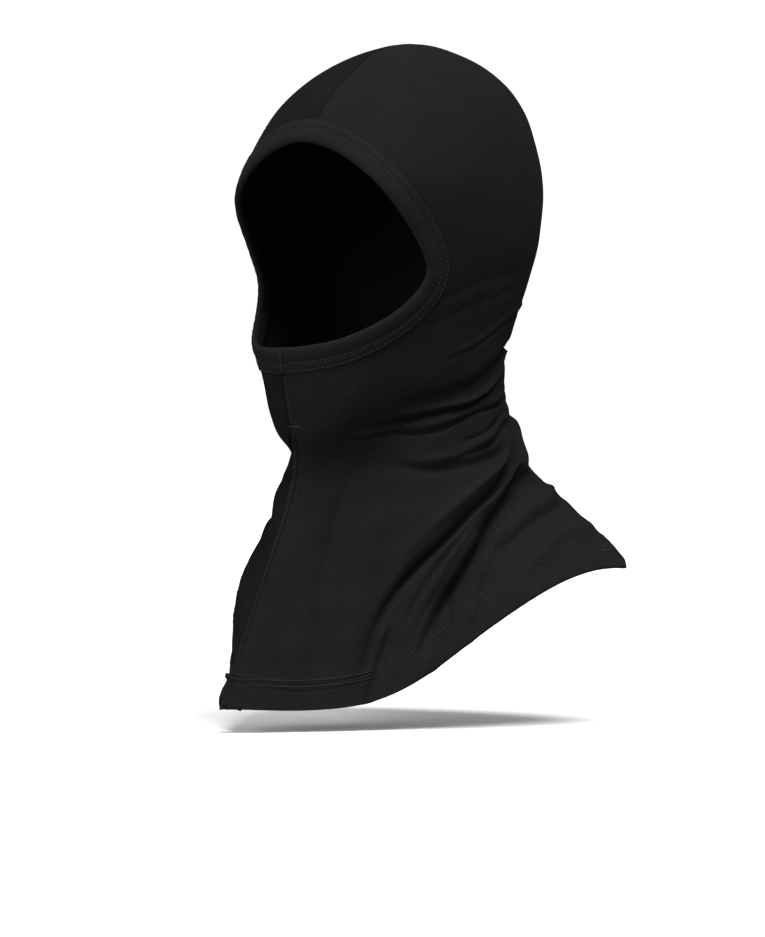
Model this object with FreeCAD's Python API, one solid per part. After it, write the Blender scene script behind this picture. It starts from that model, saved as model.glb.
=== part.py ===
"""A close-fitting knitted hood with a face opening, a neck and a bib that is slit at the front.

Millimetres. The origin is the crown, where the top of the head bears. +X is the wearer's left,
-Y is the front and +Z is up. The garment is drawn as it is worn.

A place on the cloth is named on a flat disc: the crown is its centre, the hem is its rim, the front
of the garment lies towards -xi, the back towards +xi, and eta runs out from the centre seam to
the side of one half. The left and right halves have a disc each.
"""
import FreeCAD, Part
import os
from math import atan2, cos, hypot, pi, radians, sin

# Cloth
CLOTH = 1.5                 # thickness of one layer of knit
SEAM_GAP = 0.15             # each half stands this far from the centre plane
TACK = 0.605                # where the front seam ends and the slit begins, from crown 0 to hem 1
LEFT_LAP = (0.8, 8.5)       # how far the left front edge runs past the centre, below the tack and at the hem
RIGHT_INSET = 2.8           # how far the right front edge stands back under the left one

# Binding round the face opening
BINDING = 0.95              # thickness of the binding cloth
BINDING_OUTER = 14.5        # width of its outer leg
BINDING_INNER = 11.0        # width of its inner leg
BINDING_CLEAR = 0.45        # air between the binding and the cloth that it grips
EDGE_IN_BINDING = 3.0       # the cloth's edge stands this far inside the fold
LAP_HALF = 7.0              # half length of the lap where the binding's ends meet

# Sewing
THREAD = 0.5                # side of a thread row
SINK = 0.1                  # how deep a row sits in the cloth
BINDING_ROWS = (8.5, 13.0)  # distance of the twin rows from the opening's edge
HEM_ROWS = (14.5, 18.0)     # distance of the twin rows from the hem
ROW_START = (1.5, 4.5)      # the hem rows start this far from the front edge, left and right
SLIT_ROW = 2.6              # distance of the edge row from the slit
FRONT_ROW = 1.2             # distance of the topstitch from the front seam
SEAM_HALF = 3.5             # half width of the seam allowance inside
SEAM_THICK = 1.2
CHIN_ROOM = 0.8             # extra air between the cloth and the front seam allowance, under the chin
BAR_TACK = (0.8, 6.8)       # where the bar tack starts and ends, out from the front seam
LABEL = (24.0, 0.045, 0.4)  # care label: width, height as a share of crown to hem, thickness

# Front flaps, the two sides of the slit: each turns on a line from the bar tack to the hem
FLAP_ANGLE = 52             # degrees round the hem from the centre front
FLAP_GAP = 0.8              # air along that line
AXIS_LIFT = (1.0, 5.5)      # the line of the turn stands this far off the cloth, left and right

# Stations from the crown to the hem, along the front, the side and the back of the wearer.
# Front and back: reach from the vertical axis, height.
FRONT = [(0, 0), (37, -7), (71, -26), (96, -53), (110, -92), (116, -129), (118, -164), (114, -196),
         (107, -224), (102, -243), (108, -267), (122, -301), (136, -338), (149, -378)]
BACK = [(0, 0), (25, -6), (47, -21), (60, -46), (68, -80), (66, -111), (57, -141), (47, -165),
        (43, -184), (44, -202), (52, -220), (64, -240), (78, -262), (92, -287)]
# Side: reach, height, distance behind the vertical axis.
SIDE = [(0, 0, 0), (29, -7, 0), (54, -23, 0), (70, -45, 0), (78, -78, 0), (77, -111, 0), (70, -141, 0),
        (63, -165, 0), (59, -187, 0), (56, -208, 0), (58, -230, 4), (66, -251, 12), (90, -272, 19),
        (119, -301, 27)]
# Fullness half way between the front and the side: over the brow, cheek and jaw.
SWELL = [(0, 0), (0, 0), (0.01, 0), (0.03, 0), (0.08, 0), (0.03, 0), (0.02, 0), (-0.02, 0), (-0.05, 0),
         (0, 0), (0, 0), (0, 0), (0, 0), (0, 0)]
# How sharply the neck and bib narrow to the front edge, left and right.
PROW = [(0, 0)] * 9 + [(-0.22, -0.16), (-0.24, -0.08), (-0.25, -0.1), (-0.27, -0.09), (-0.28, -0.18)]
# How far the cloth dips towards the hem: left front, right front, and more at the left side.
DIP = [(0, 0, 0)] * 12 + [(5, -3, 9), (12, -8, 20)]

# Edge of the face opening on one half, from under the nose to the forehead: degrees round, station.
OPENING = [(0, 0.493), (14, 0.495), (31, 0.497), (45, 0.487), (54, 0.465), (58, 0.434), (55, 0.400),
           (46, 0.346), (35, 0.298), (19, 0.263), (0, 0.249)]


def spline(table, place, mirrored_end=False):
    """Smooth curve through a table's rows, at a place from 0 to 1.

    The first value changes sign across the start, and the others don't.
    """
    last = len(table) - 1
    t = max(place, 0.0) * last
    i = min(int(t), last - 1)
    f = t - i
    values = []
    for k in range(len(table[0])):
        b = table[i][k]
        c = table[i + 1][k]
        sign = -1 if k == 0 else 1
        a = table[i - 1][k] if i > 0 else sign * c
        if i + 2 <= last:
            d = table[i + 2][k]
        else:
            d = sign * b if mirrored_end else 2 * c - b
        cubic = 3 * b - a - 3 * c + d
        square = 2 * a - 5 * b + 4 * c - d
        values.append(0.5 * (2 * b + (c - a) * f + square * f * f + cubic * f ** 3))
    return values


def worn_point(side, xi, eta):
    """The outer face of the cloth as it is worn. side is 1 for the left half and -1 for the right."""
    s = hypot(xi, eta)
    ahead, across = (-xi / s, eta / s) if s > 1e-9 else (1.0, 0.0)
    t = min(max(ahead + 0.5, 0.0), 1.0)
    front_share = t * t * (3 - 2 * t)
    front, back, flank = spline(FRONT, s), spline(BACK, s), spline(SIDE, s)
    reach = back[0] + front_share * (front[0] - back[0])
    height = back[1] + front_share * (front[1] - back[1])
    half = 0 if side > 0 else 1
    full = 1 + front_share * 4 * (ahead * across) ** 2 * spline(SWELL, s)[0]
    dip = 0
    if ahead > 0:
        wedge = 2.6 * across * ahead * ahead
        full += wedge * spline(PROW, s)[half]
        drop = spline(DIP, s)
        dip = wedge * drop[half]
        if side > 0:
            dip += wedge * drop[2] * across ** 2
    x = flank[0] * across * full
    y = flank[2] * across ** 2 - reach * ahead * full
    z = flank[1] * across ** 2 + height * ahead ** 2 - dip
    return FreeCAD.Vector(side * x, y, z)


def slopes(side, xi, eta, step=2e-4):
    """How the worn cloth runs along xi and along eta."""
    along_xi = worn_point(side, xi + step, eta) - worn_point(side, xi - step, eta)
    along_eta = worn_point(side, xi, eta + step) - worn_point(side, xi, eta - step)
    return along_xi.multiply(0.5 / step), along_eta.multiply(0.5 / step)


def outward(side, xi, eta):
    """Unit vector square to the cloth, away from the wearer."""
    along_xi, along_eta = slopes(side, xi, eta)
    return along_eta.cross(along_xi).multiply(side).normalize()


def cloth_point(side, xi, eta, lift=0.0):
    """A point at a height over the outer face of the cloth."""
    return worn_point(side, xi, eta) + outward(side, xi, eta).multiply(lift)


def step_on_cloth(side, xi, eta, direction, distance):
    """The place reached by walking a distance over the cloth in a direction in space."""
    along_xi, along_eta = slopes(side, xi, eta)
    a, b, c = along_xi.dot(along_xi), along_xi.dot(along_eta), along_eta.dot(along_eta)
    p, q = along_xi.dot(direction), along_eta.dot(direction)
    scale = distance / (a * c - b * b)
    return xi + (c * p - b * q) * scale, eta + (a * q - b * p) * scale


def opening_place(side, v, width=0.0):
    """A place at a distance from the opening's edge. v runs from under the nose, 0, to the forehead, 1."""
    angle, s = spline(OPENING, v, mirrored_end=True)
    xi, eta = -s * cos(radians(angle)), s * sin(radians(angle))
    if width == 0:
        return xi, eta
    before = spline(OPENING, max(v - 0.01, 0), mirrored_end=True)
    after = spline(OPENING, min(v + 0.01, 1), mirrored_end=True)
    start = worn_point(side, -before[1] * cos(radians(before[0])), before[1] * sin(radians(before[0])))
    end = worn_point(side, -after[1] * cos(radians(after[0])), after[1] * sin(radians(after[0])))
    along = end - start
    if v in (0, 1):
        along.y = 0
        along.z = 0
    away = along.normalize().cross(outward(side, xi, eta)).multiply(side)
    return walk(side, xi, eta, away, width)


def walk(side, xi, eta, direction, distance):
    """step_on_cloth in three shorter steps, which follows the cloth's curve."""
    for _ in range(3):
        xi, eta = step_on_cloth(side, xi, eta, direction, distance / 3)
    return xi, eta


def front_shift(side, s):
    """How far the front edge of a half stands from the centre, below the bar tack."""
    if s <= TACK:
        return 0.0
    down = (s - TACK) / (1 - TACK)
    ramp = min(down * 8, 1.0)
    ramp = ramp * ramp * (3 - 2 * ramp)
    if side > 0:
        return -ramp * (LEFT_LAP[0] + down ** 3 * (LEFT_LAP[1] - LEFT_LAP[0]))
    return ramp * RIGHT_INSET


def panel_place(side, u, v):
    """A place on a half: u from the face opening, 0, to the hem, 1; v from the front to the back."""
    inner_xi, inner_eta = opening_place(side, v, EDGE_IN_BINDING)
    xi = inner_xi + u * (-cos(pi * v) - inner_xi)
    eta = inner_eta + u * (sin(pi * v) - inner_eta)
    if v < 0.4:
        eta += front_shift(side, -xi) / spline(SIDE, -xi)[0] * (1 - v / 0.4) ** 4
    return xi, eta


def front_place(side, s, distance):
    """A place at a distance from the front edge of a half."""
    return -s, (front_shift(side, s) + distance) / spline(SIDE, s)[0]


def surface(points):
    """A smooth face through a grid of points."""
    face = Part.BSplineSurface()
    face.interpolate(points)
    return face


def closed_solid(faces):
    """A solid from faces whose edges meet."""
    shape = Part.Compound(faces)
    shape.sewShape(0.01)
    solid = Part.Solid(shape.Shells[0])
    if solid.Volume < 0:
        solid.reverse()
    return solid


def sheet_between(outer, inner):
    """A thin solid between two grids of points of the same size."""
    top, bottom = surface(outer), surface(inner)
    faces = [top.toShape(), bottom.toShape()]
    for end in (0, 1):
        upper, lower = top.uIso(end).toShape(), bottom.uIso(end).toShape()
        faces.append(Part.makeRuledSurface(upper, lower, 1))
        upper, lower = top.vIso(end).toShape(), bottom.vIso(end).toShape()
        faces.append(Part.makeRuledSurface(upper, lower, 1))
    return closed_solid(faces)


def bar(sections):
    """A long solid. Each section is two rows of corners, the upper and the lower, of the same length."""
    count = len(sections[0][0])
    ticks = [i / (len(sections) - 1) for i in range(len(sections))]
    edges = []
    for row in (0, 1):
        for k in range(count):
            curve = Part.BSplineCurve()
            curve.interpolate(Points=[section[row][k] for section in sections], Parameters=ticks)
            edges.append(curve.toShape())
    upper, lower = edges[:count], edges[count:]
    pairs = [(row[k], row[k + 1]) for row in (upper, lower) for k in range(count - 1)]
    pairs += [(upper[0], lower[0]), (upper[-1], lower[-1])]
    for top, bottom in (sections[0], sections[-1]):
        for k in range(count - 1):
            pairs.append((Part.LineSegment(top[k], top[k + 1]).toShape(),
                          Part.LineSegment(bottom[k], bottom[k + 1]).toShape()))
    return closed_solid([Part.makeRuledSurface(one, other, 1) for one, other in pairs])


def steps(count, start=0.0, end=1.0):
    """Evenly spaced values, both ends included."""
    return [start + (end - start) * i / (count - 1) for i in range(count)]


def thread(places, lift=-SINK, thick=THREAD):
    """A row of stitches as one thin bar along places on the cloth, each (side, xi, eta)."""
    points = [worn_point(*place) for place in places]
    sections = []
    for i, place in enumerate(places):
        along = points[min(i + 1, len(points) - 1)] - points[max(i - 1, 0)]
        up = outward(*place)
        across = up.cross(along).normalize() * (THREAD / 2)
        base = points[i] + up * lift
        top = base + up * thick
        sections.append(([top - across, top + across], [base - across, base + across]))
    return bar(sections)


def centre_point(xi, offset, lift):
    """A point beside the centre seam: the offset is positive on the left half."""
    side = 1 if offset >= 0 else -1
    if offset == 0:
        up = (outward(1, xi, 0) + outward(-1, xi, 0)).normalize()
        return worn_point(1, xi, 0) + up * lift
    return cloth_point(side, xi, abs(offset) / slopes(side, xi, 0)[1].Length, lift)


def centre_band(stations, offsets, high, low):
    """A strip along the centre seam, between two heights over the cloth's outer face."""
    sections = []
    for xi in stations:
        sections.append(([centre_point(xi, offset, high) for offset in offsets],
                         [centre_point(xi, offset, low) for offset in offsets]))
    return bar(sections)


def binding_section(side, v, lift=0.0):
    """Corners of the binding folded round the cloth's edge: outer and inner face of the fold."""
    top = BINDING_CLEAR + lift
    bottom = -CLOTH - BINDING_CLEAR - lift
    out, into = BINDING_OUTER, BINDING_INNER
    outer = [(out * share, top + BINDING) for share in (1, 0.75, 0.5, 0.25)]
    outer += [(-lift, top + BINDING), (-lift, bottom - BINDING)]
    outer += [(into * share, bottom - BINDING) for share in (0.33, 0.67, 1)]
    inner = [(out * share, top) for share in (1, 0.75, 0.5, 0.25)]
    inner += [(BINDING - lift, top), (BINDING - lift, bottom)]
    inner += [(into * share, bottom) for share in (0.33, 0.67, 1)]
    rows = []
    for row in (outer, inner):
        rows.append([cloth_point(side, *opening_place(side, v, width), height) for width, height in row])
    return rows


def half_panel(side):
    """One half of the garment, from the binding to the hem, with its front flap still on."""
    grids = []
    for lift in (0.0, -CLOTH):
        grid = []
        for u in steps(34):
            places = [panel_place(side, u, v) for v in steps(56)]
            grid.append([cloth_point(side, xi, eta, lift) + FreeCAD.Vector(side * SEAM_GAP, 0, 0)
                         for xi, eta in places])
        grids.append(grid)
    return sheet_between(*grids)


class FlapLine:
    """The line that a front flap turns on, and the plane through it that parts the flap from its half."""

    def __init__(self, side):
        hem = (-cos(radians(FLAP_ANGLE)), sin(radians(FLAP_ANGLE)))
        middle = ((-TACK + hem[0]) / 2, hem[1] / 2)
        lift = AXIS_LIFT[0 if side > 0 else 1]
        self.top = cloth_point(side, -TACK, 0.002, lift)
        self.foot = cloth_point(side, *hem, lift)
        self.along = (self.foot - self.top).normalize()
        self.across = outward(side, *middle).cross(self.along).multiply(-side).normalize()
        self.up = self.along.cross(self.across).multiply(-side)

    def ahead(self, point):
        """How far a point lies on the flap's side of the line."""
        return (point - self.top).dot(self.across)

    def block(self, gap):
        """A block that covers the flap's side, from a gap on."""
        corners = []
        for along, up in ((-20, -70), (260, -70), (260, 50), (-20, 50)):
            corners.append(self.top + self.along * along + self.across * gap + self.up * up)
        face = Part.Face(Part.makePolygon(corners + corners[:1]))
        return face.extrude(self.across * 220)


def hem_places(side, distance):
    """Places along a row beside the hem, from the front edge to the back seam."""
    places = []
    for angle in steps(97, 0, 178):
        xi, eta = -cos(radians(angle)), sin(radians(angle))
        before = worn_point(side, -cos(radians(angle - 1)), sin(radians(angle - 1)))
        after = worn_point(side, -cos(radians(angle + 1)), sin(radians(angle + 1)))
        inward = outward(side, xi, eta).cross(after - before).multiply(side).normalize()
        xi, eta = walk(side, xi, eta, inward, distance)
        if angle < 36:
            share = (1 - angle / 72) ** 4
            eta += (front_shift(side, -xi) + ROW_START[0 if side > 0 else 1]) / spline(SIDE, -xi)[0] * share
        places.append((side, xi, eta))
    return places


def split_at_flap(places, line, clear=1.2):
    """The part of a row that lies on the flap, and the part that lies on the rest of the half."""
    on_flap, on_panel = [], []
    for place in places:
        ahead = line.ahead(worn_point(*place))
        if ahead > clear:
            on_flap.append(place)
        elif ahead < -clear:
            on_panel.append(place)
    return on_flap, on_panel


def binding_loop(start, end, count):
    """Places of the binding's sections, from one side of the nose round the opening to the other."""
    left = [(1, v) for v in steps(count, start, 1)]
    right = [(-1, v) for v in reversed(steps(count, end, 1)[:-1])]
    return left + right


def build():
    """Every piece of the garment, by name."""
    pieces = {}
    under = -CLOTH - 0.15
    above_binding = BINDING_CLEAR + BINDING

    for side, name in ((1, "left"), (-1, "right")):
        line = FlapLine(side)
        half = half_panel(side)
        pieces[name + "_half_panel"] = half.cut(line.block(-FLAP_GAP / 2)).Solids[0]
        pieces[name + "_front_flap"] = half.common(line.block(FLAP_GAP / 2)).Solids[0]
        for distance, row in zip(HEM_ROWS, ("lower", "upper")):
            on_flap, on_panel = split_at_flap(hem_places(side, distance), line)
            pieces["%s_hem_%s_stitch" % (name, row)] = thread(on_panel)
            pieces["%s_flap_hem_%s_stitch" % (name, row)] = thread(on_flap)
        slit = [(side, *front_place(side, s, SLIT_ROW)) for s in steps(40, TACK + 0.03, 0.994)]
        pieces[name + "_slit_edge_stitch"] = thread([p for p in slit if line.ahead(worn_point(*p)) > 1.2])

    sections = [binding_section(side, v) for side, v in binding_loop(0.001, 0.001, 61)]
    pieces["face_opening_binding"] = bar(sections)
    for distance, row in zip(BINDING_ROWS, ("inner", "outer")):
        places = [(side, *opening_place(side, v, distance)) for side, v in binding_loop(0.05, 0.05, 61)]
        pieces["binding_%s_stitch" % row] = thread(places, above_binding - SINK)
    sections = [binding_section(side, v, BINDING + 0.1) for side, v in binding_lap_places()]
    pieces["binding_lap"] = bar(sections)
    joint = [(1, *opening_place(1, 0.005, width)) for width in steps(12, 1.5, BINDING_OUTER - 0.5)]
    pieces["binding_joint_stitch"] = thread(joint, above_binding + BINDING + 0.1 - SINK)

    crown = steps(110, -0.216, 0.985)
    allowance = (SEAM_HALF, SEAM_HALF / 2, 0, -SEAM_HALF / 2, -SEAM_HALF)
    pieces["crown_back_seam"] = centre_band(crown, allowance, under, under - SEAM_THICK)
    pieces["crown_back_seam_overlock"] = thread(centre_places(crown, 2.4), under - SEAM_THICK + SINK - THREAD)
    chin = steps(16, -0.527, -TACK + 0.004)
    below_chin = under - CHIN_ROOM
    pieces["front_seam"] = centre_band(chin, allowance, below_chin, below_chin - SEAM_THICK)
    pieces["front_seam_topstitch"] = thread(centre_places(steps(24, -0.537, -TACK + 0.006), FRONT_ROW))
    tack = steps(4, -TACK + 0.0005, -TACK + 0.0035)
    first, last = BAR_TACK
    pieces["slit_bar_tack"] = centre_band(tack, (first, (first + last) / 2, last), 0.8, -SINK)

    width, height, thick = LABEL
    columns = (width / 2, width / 6, -width / 6, -width / 2)
    label = steps(8, 0.6, 0.6 + height)
    base = under - SEAM_THICK - 0.7
    pieces["care_label"] = centre_band(label, columns, base, base - thick)
    return pieces


def binding_lap_places():
    """Sections of the lap under the nose, across the joint of the binding's ends."""
    reach = LAP_HALF / 150
    return [(1, v) for v in steps(6, reach, 0)] + [(-1, v) for v in steps(6, 0, reach)[1:]]


def centre_places(stations, offset):
    """Places along a row beside the centre seam."""
    side = 1 if offset > 0 else -1
    return [(side, xi, abs(offset) / slopes(side, xi, 0)[1].Length) for xi in stations]


if __name__ == "__main__":
    os.makedirs("parts", exist_ok=True)
    for name, shape in build().items():
        shape.exportStep("parts/%s.step" % name)
        print("%-28s %-6s %8.1f mm3 %s" % (name, shape.isValid() and shape.isClosed(), shape.Volume,
                                           shape.BoundBox))
    for side in (1, -1):
        line = FlapLine(side)
        print("flap line", side, line.top, line.foot)
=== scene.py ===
import math

import bpy
import numpy as np
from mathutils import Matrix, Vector


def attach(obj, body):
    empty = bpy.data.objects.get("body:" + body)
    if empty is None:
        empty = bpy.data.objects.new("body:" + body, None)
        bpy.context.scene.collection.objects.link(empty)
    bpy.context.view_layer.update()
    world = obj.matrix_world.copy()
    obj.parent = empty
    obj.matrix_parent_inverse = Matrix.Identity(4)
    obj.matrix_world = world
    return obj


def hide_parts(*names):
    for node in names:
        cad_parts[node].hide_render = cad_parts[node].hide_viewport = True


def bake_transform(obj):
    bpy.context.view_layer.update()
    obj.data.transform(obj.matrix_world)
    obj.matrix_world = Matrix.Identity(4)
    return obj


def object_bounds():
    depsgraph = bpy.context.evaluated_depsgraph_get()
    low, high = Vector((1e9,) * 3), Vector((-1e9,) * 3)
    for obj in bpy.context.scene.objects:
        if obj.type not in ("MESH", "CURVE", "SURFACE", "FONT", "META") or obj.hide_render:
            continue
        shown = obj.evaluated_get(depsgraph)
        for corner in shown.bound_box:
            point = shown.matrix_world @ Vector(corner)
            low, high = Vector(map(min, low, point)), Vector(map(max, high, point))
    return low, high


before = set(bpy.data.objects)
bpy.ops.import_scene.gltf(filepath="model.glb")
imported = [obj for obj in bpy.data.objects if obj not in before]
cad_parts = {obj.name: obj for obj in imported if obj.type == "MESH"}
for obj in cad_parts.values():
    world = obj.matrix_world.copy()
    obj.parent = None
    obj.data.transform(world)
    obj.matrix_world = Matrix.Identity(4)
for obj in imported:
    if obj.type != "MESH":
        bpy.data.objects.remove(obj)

cad_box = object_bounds()
# Lengths are millimetres on the cloth, as in the CAD part, and metres once a mesh is made.
MM = 0.001

# ---- the worn shape, as in the CAD part
CLOTH = 0.85                # thickness of one layer of knit
SEAM_GAP = 0.15             # each half stands this far from the centre plane
TACK = 0.605                # where the front seam ends and the slit begins
LEFT_LAP = (0.8, 8.5)       # how far the left front edge runs past the centre
RIGHT_INSET = 2.8           # how far the right front edge stands back
EDGE_IN_BINDING = 3.0       # the cloth's edge stands this far inside the binding's fold
BINDING_ROWS = (8.5, 13.0)  # twin rows on the binding, from the opening's edge
HEM_ROWS = (14.5, 18.0)     # twin rows above the hem
HEM_DEPTH = 20.5            # how far the hem is turned up inside
SLIT_ROW = 2.6              # edge row beside the slit
FRONT_ROW = 1.2             # topstitch beside the front seam
STITCH = 2.7                # length of a stitch and the gap after it
SHORT_STITCH = 2.1          # the same on the front seam
JOINT_STITCH = 2.2          # the same where the binding's end is joined
HEM_ROW_START = {1: 1.5, -1: 4.5}   # where the hem rows begin, from the front edge, left and right
SEAM_SWING = 8.0            # the crown seam swings this far to the left over the forehead
SEAM_REACH = 42.0           # how far to either side the cloth is pulled with it
SEAM_ALLOWANCE = 3.4        # half width of the seam allowance laid open inside
SEAM_PLY = 1.3              # thickness of the seam allowance, two layers pressed flat
ALLOWANCE_DEPTH = CLOTH + SEAM_PLY  # from the cloth's outer face to the allowance
FACING_PLY = 0.7            # thickness of the turned-in edges and of the binding's cloth
LAP_PLY = 0.6               # thickness of the lapped end
LABEL_PLY = 0.35            # thickness of the label's tape
LABEL_HALF_WIDTH = 12       # half width of the label

# Relief beside a seam or edge: height, distance from it, half width.
SEAM_RELIEF = [(-1.1, 0, 0.8), (0.2, 2.3, 1.3), (-0.15, 4.6, 0.8)]
SLIT_RELIEF = [(0.55, 1.3, 0.8), (-0.95, SLIT_ROW + 0.3, 0.5), (-0.9, -0.1, 0.45)]
HEM_RELIEF = [(-0.5, row, 0.55) for row in HEM_ROWS] + [(-0.9, 0, 0.8)]
HEM_STEP = 0.55             # the turned-up hem stands this far proud
SLIT_CALM = 30              # folds and unevenness fade out this near the slit

# Front and back of the wearer, from the crown to the hem: reach from the vertical axis, height.
FRONT = [(0, 0), (37, -7), (71, -26), (96, -53), (110, -92), (116, -129), (118, -164), (114, -196),
         (107, -224), (102, -243), (108, -267), (122, -301), (136, -338), (149, -378)]
BACK = [(0, 0), (25, -6), (47, -21), (60, -46), (68, -80), (66, -111), (57, -141), (47, -165),
        (43, -184), (44, -202), (52, -220), (64, -240), (78, -262), (92, -287)]
# Side: reach, height, distance behind the vertical axis.
SIDE = [(0, 0, 0), (29, -7, 0), (54, -23, 0), (70, -45, 0), (78, -78, 0), (77, -111, 0), (70, -141, 0),
        (63, -165, 0), (59, -187, 0), (56, -208, 0), (58, -230, 4), (66, -251, 12), (90, -272, 19),
        (119, -301, 27)]
# Fullness over the brow, cheek and jaw.
SWELL = [(0, 0), (0, 0), (0.01, 0), (0.03, 0), (0.08, 0), (0.03, 0), (0.02, 0), (-0.02, 0), (-0.05, 0),
         (0, 0), (0, 0), (0, 0), (0, 0), (0, 0)]
# How sharply the neck and bib narrow to the front edge, left and right.
PROW = [(0, 0)] * 9 + [(-0.22, -0.16), (-0.24, -0.08), (-0.25, -0.1), (-0.27, -0.09), (-0.28, -0.18)]
# How far the cloth dips towards the hem: left front, right front, and more at the left side.
DIP = [(0, 0, 0)] * 12 + [(5, -3, 9), (12, -8, 20)]
# Edge of the face opening on one half, from under the nose to the forehead: degrees round, station.
OPENING = [(0, 0.493), (14, 0.495), (31, 0.497), (45, 0.487), (54, 0.465), (58, 0.434), (55, 0.400),
           (46, 0.346), (35, 0.298), (19, 0.263), (0, 0.249)]

# Folds of each half, left and right: path from the back or top on as (degrees round, station), depth
# (outward is positive), half width towards the crown, half width towards the hem. Tapered at both ends.
FOLDS = {1: [
    # the crisp crease from the nape to under the jaw, and the shade below it
    ([(134, .50), (114, .490), (99, .507), (89, .532), (78, .566), (66, .580)], 1.4, 6.0, 1.5),
    ([(132, .512), (114, .505), (99, .520), (89, .545), (78, .578), (66, .590)], -1.4, 1.0, 4.0),
    # the broad shade above the ridge over the first neck valley, the narrow ridge, and the valley
    ([(150, .580), (130, .575), (112, .567), (98, .592), (88, .622), (79, .648), (66, .654), (50, .638)],
     -5.2, 12.0, 2.6),
    ([(152, .60), (130, .590), (112, .583), (101, .618), (92, .653), (81, .681), (66, .681), (46, .656)],
     4.4, 3.0, 1.6),
    ([(150, .612), (130, .602), (112, .596), (101, .633), (91, .667), (80, .693), (70, .696), (57, .690),
         (43, .668), (26, .642)], -4.2, 1.3, 2.6),
    ([(120, .655), (107, .662), (96, .686), (86, .702), (76, .712), (64, .711), (48, .690)], 1.6, 2.4, 2.4),
    ([(120, .69), (104, .690), (86, .706), (76, .721), (67, .728), (57, .716), (41, .686), (20, .652)],
     -3.0, 1.4, 2.6),
    # small creases near the nape
    ([(112, .700), (100, .718), (89, .743), (82, .755), (74, .762)], -2.6, 1.1, 2.2),
    ([(114, .722), (100, .745), (91, .765), (82, .779), (72, .789)], -2.8, 1.3, 2.4),
    ([(92, .738), (84, .763), (74, .782), (60, .772), (44, .735)], 2.2, 5.0, 4.0),
    ([(105, .772), (94, .785), (84, .802), (74, .808), (64, .798), (52, .768), (34, .725)], -4.0, 3.4, 7.0),
    # the tubes that fall from the nape to the front of the bib, and the deep valley between them
    ([(128, .660), (114, .700), (108, .742), (100, .775), (88, .812), (78, .842), (67, .866), (56, .878),
         (44, .886)], 4.4, 4.0, 2.8),
    ([(138, .680), (122, .705), (113, .735), (108, .762), (103, .785), (90, .823), (81, .853), (74, .870),
         (67, .884), (60, .896), (47, .906), (38, .920), (31, .946), (27, .985)], -9.5, 3.8, 3.0),
    ([(140, .730), (130, .744), (122, .764), (115, .787), (107, .812), (97, .838)], 5.5, 7.0, 7.0),
    ([(108, .790), (98, .816), (86, .848), (77, .872), (70, .886), (62, .902), (50, .916), (40, .934)],
     4.0, 2.0, 2.4),
    ([(102, .818), (94, .838), (83, .866), (77, .884), (71, .900), (67, .917), (62, .929), (57, .941),
         (52, .951), (46, .972), (43, .99)], -6.0, 4.0, 2.2),
    ([(102, .818), (92, .843), (83, .866), (74, .892), (67, .917), (60, .935), (52, .953), (46, .985)],
     -10.5, 17.0, 2.8),
    ([(98, .850), (88, .874), (80, .896), (72, .922), (64, .950), (57, .985)], 3.2, 3.0, 5.0),
    # fine creases on the wedge between the two valleys
    ([(76, .877), (70, .889), (62, .908), (52, .925), (46, .937), (40, .955)], -2.2, 1.2, 1.7),
    ([(76, .884), (70, .897), (63, .916), (54, .937), (48, .950), (42, .968)], -2.2, 1.2, 1.7),
    ([(70, .884), (63, .898), (54, .911), (47, .921), (40, .936), (35, .958)], -1.8, 1.2, 1.7),
    # over the shoulder
    ([(106, .828), (95, .850), (84, .880), (76, .906)], -2.6, 1.5, 2.6),
    ([(126, .872), (114, .878), (104, .880), (95, .887), (84, .903), (75, .922)], 3.4, 4.0, 3.0),
    ([(130, .90), (116, .900), (105, .898), (90, .909), (79, .927), (72, .939), (64, .962)], -4.6, 1.8, 4.2),
    ([(120, .945), (104, .940), (90, .946), (78, .960), (70, .982)], 2.4, 5.0, 6.0),
    # short pulls that run into the hem
    ([(65, .950), (62, .972), (58, .993), (53, 1.03)], -3.0, 3.2, 2.2),
    ([(56, .950), (53, .970), (49, .988), (44, 1.03)], -3.8, 3.4, 2.4),
    ([(38, .940), (33.5, .964), (29.5, .988), (25, 1.03)], -4.0, 3.4, 2.6),
    # faint pulls across the cheek towards the jaw
    ([(100, .435), (88, .445), (76, .458), (67, .474), (59, .488)], -0.8, 2.2, 3.4),
    ([(98, .462), (84, .482), (74, .498), (66, .512), (54, .524)], -0.8, 2.2, 3.4),
    # drape of the bib beside the slit
    ([(42, .80), (34, .86), (27, .92), (22, .98)], 1.8, 8.0, 8.0),
    ([(24, .70), (19, .79), (16, .88), (14, .99)], -1.2, 6.0, 6.0),
], -1: [
    ([(150, .548), (130, .548), (112, .550), (98, .575), (85, .605), (70, .625), (55, .62)], -2.2, 4.0, 5.0),
    ([(150, .60), (128, .59), (115, .585), (100, .62), (86, .65), (70, .66), (50, .64)], 3.4, 3.0, 2.4),
    ([(150, .655), (128, .648), (112, .638), (98, .67), (84, .69), (66, .69), (46, .66)], -4.0, 2.0, 3.5),
    ([(118, .70), (100, .715), (86, .74), (72, .75), (56, .73)], 2.4, 4.0, 4.0),
    ([(120, .735), (104, .755), (92, .79), (78, .82), (62, .83), (46, .82)], -5.0, 2.6, 5.0),
    ([(125, .78), (108, .80), (92, .84), (76, .87), (60, .89), (44, .90)], 2.8, 4.0, 4.0),
    ([(125, .83), (104, .85), (88, .89), (74, .92), (60, .95), (48, .98)], -5.0, 2.6, 5.0),
    ([(32, .72), (26, .80), (21, .88), (18, .97)], 1.6, 5.0, 4.0),
    ([(19, .70), (14, .79), (11, .88), (9, .975)], -2.0, 4.0, 4.0),
]}


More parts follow.
